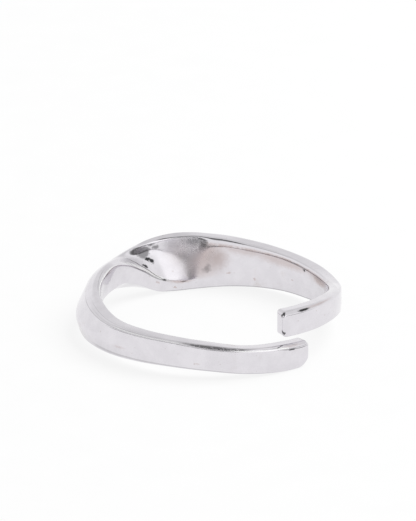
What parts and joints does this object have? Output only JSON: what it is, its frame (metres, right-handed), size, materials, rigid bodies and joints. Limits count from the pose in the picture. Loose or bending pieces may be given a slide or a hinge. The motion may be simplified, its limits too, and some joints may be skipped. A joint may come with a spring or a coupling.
{
  "type": "open cuff ring",
  "caption": "Polished silver open ring: a slim band that rolls over itself, broadens into a hollow and ends above its own start.",
  "frame": {"origin": "on the finger hole's axis, at the floor the ring rests on", "axes": "+Z along the finger hole, up from the floor; -Y towards the front of the picture, with the open ends at +X -Y and the tall hollow at the back, +Y"},
  "size_m": [0.0202, 0.0195, 0.0048],
  "materials": {
    "silver": "polished"
  },
  "bodies": {
    "root": {"ring": "silver"}
  },
  "joints": []
}
